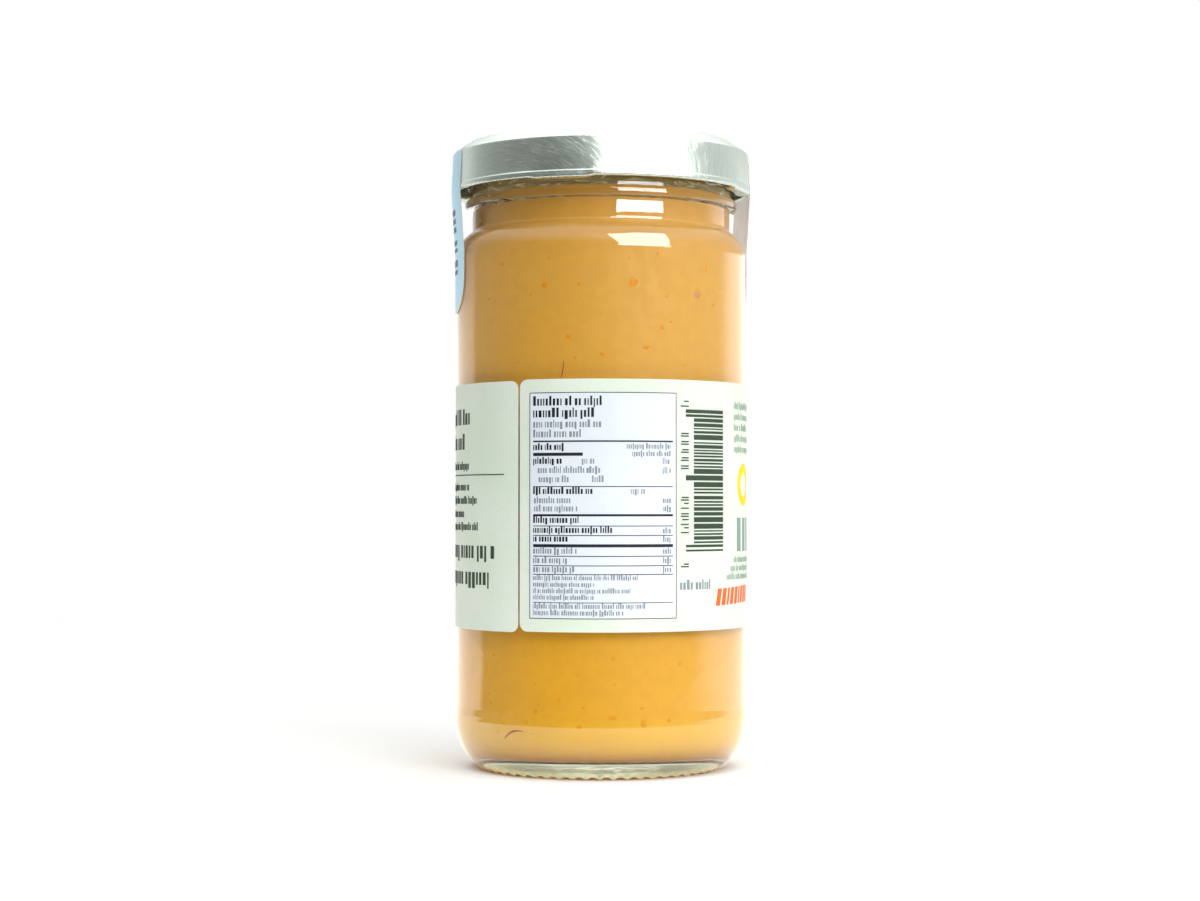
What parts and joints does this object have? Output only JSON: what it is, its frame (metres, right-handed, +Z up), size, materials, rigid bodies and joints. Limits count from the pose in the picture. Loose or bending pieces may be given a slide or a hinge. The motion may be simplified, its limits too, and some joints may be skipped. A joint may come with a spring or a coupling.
{
  "type": "jar of apple cream",
  "caption": "Tall straight-sided clear glass jar filled with golden apple cream, shut by a silver lug lid, with a wrapped paper label and a paper seal strip over the lid.",
  "frame": {"origin": "centre of the ring that the jar stands on, at table level", "axes": "+Z up along the jar's axis, -Y towards the side that shows the label's back panel"},
  "size_m": [0.0622, 0.062, 0.1288],
  "materials": {
    "glass": "gloss",
    "cream": "satin",
    "lid_metal": "satin",
    "label_paper": "satin",
    "strip_paper": "matte"
  },
  "bodies": {
    "root": {"jar_glass": "glass", "apple_cream": "cream", "lid": "lid_metal", "label": "label_paper", "seal_strip": "strip_paper"}
  },
  "joints": []
}
